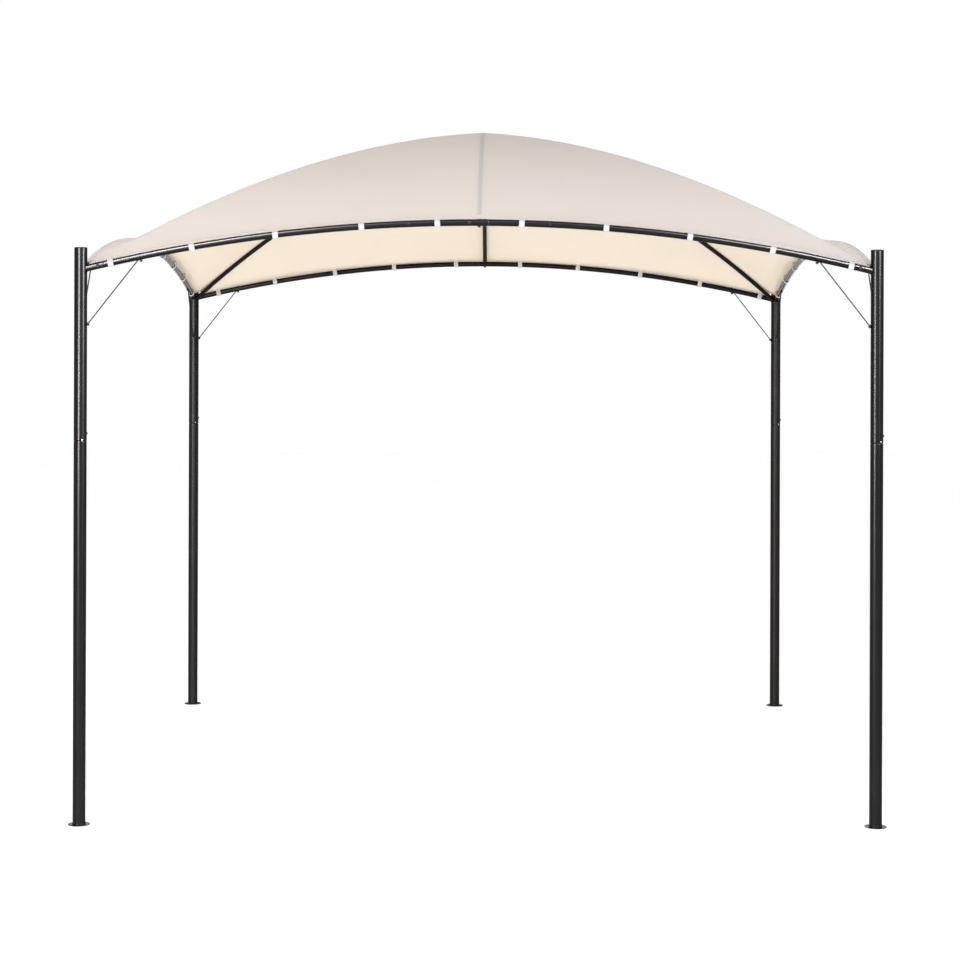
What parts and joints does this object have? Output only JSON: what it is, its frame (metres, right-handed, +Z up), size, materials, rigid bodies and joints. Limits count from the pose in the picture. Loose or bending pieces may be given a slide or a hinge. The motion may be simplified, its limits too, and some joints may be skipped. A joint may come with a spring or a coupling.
{
  "type": "garden gazebo",
  "caption": "Free-standing garden gazebo: round steel posts, arched side beams, a domed frame of ribs and rafters, corner stay wires and a cream fabric roof.",
  "frame": {"origin": "on the ground, in the middle of the four posts", "axes": "+Z up; the front faces -Y, with +X to the right seen from the front"},
  "size_m": [3.032, 3.032, 2.7326],
  "materials": {
    "steel": "satin charcoal powder coat",
    "cap": "black moulded plastic",
    "wire": "dark steel wire and bolts",
    "canopy": "woven cream polyester"
  },
  "bodies": {
    "root": {"base_plate_front_left": "steel", "post_lower_front_left": "steel", "post_upper_front_left": "steel", "post_cap_front_left": "cap", "hip_rafter_front_left": "steel", "base_plate_front_right": "steel", "post_lower_front_right": "steel", "post_upper_front_right": "steel", "post_cap_front_right": "cap", "hip_rafter_front_right": "steel", "base_plate_back_right": "steel", "post_lower_back_right": "steel", "post_upper_back_right": "steel", "post_cap_back_right": "cap", "hip_rafter_back_right": "steel", "base_plate_back_left": "steel", "post_lower_back_left": "steel", "post_upper_back_left": "steel", "post_cap_back_left": "cap", "hip_rafter_back_left": "steel", "front_beam_near_half": "steel", "front_beam_far_half": "steel", "front_rib": "steel", "front_stay_near": "wire", "front_stay_far": "wire", "right_beam_near_half": "steel", "right_beam_far_half": "steel", "right_rib": "steel", "right_stay_near": "wire", "right_stay_far": "wire", "back_beam_near_half": "steel", "back_beam_far_half": "steel", "back_rib": "steel", "back_stay_near": "wire", "back_stay_far": "wire", "left_beam_near_half": "steel", "left_beam_far_half": "steel", "left_rib": "steel", "left_stay_near": "wire", "left_stay_far": "wire", "crown_hub": "steel", "canopy": "canopy"}
  },
  "joints": []
}
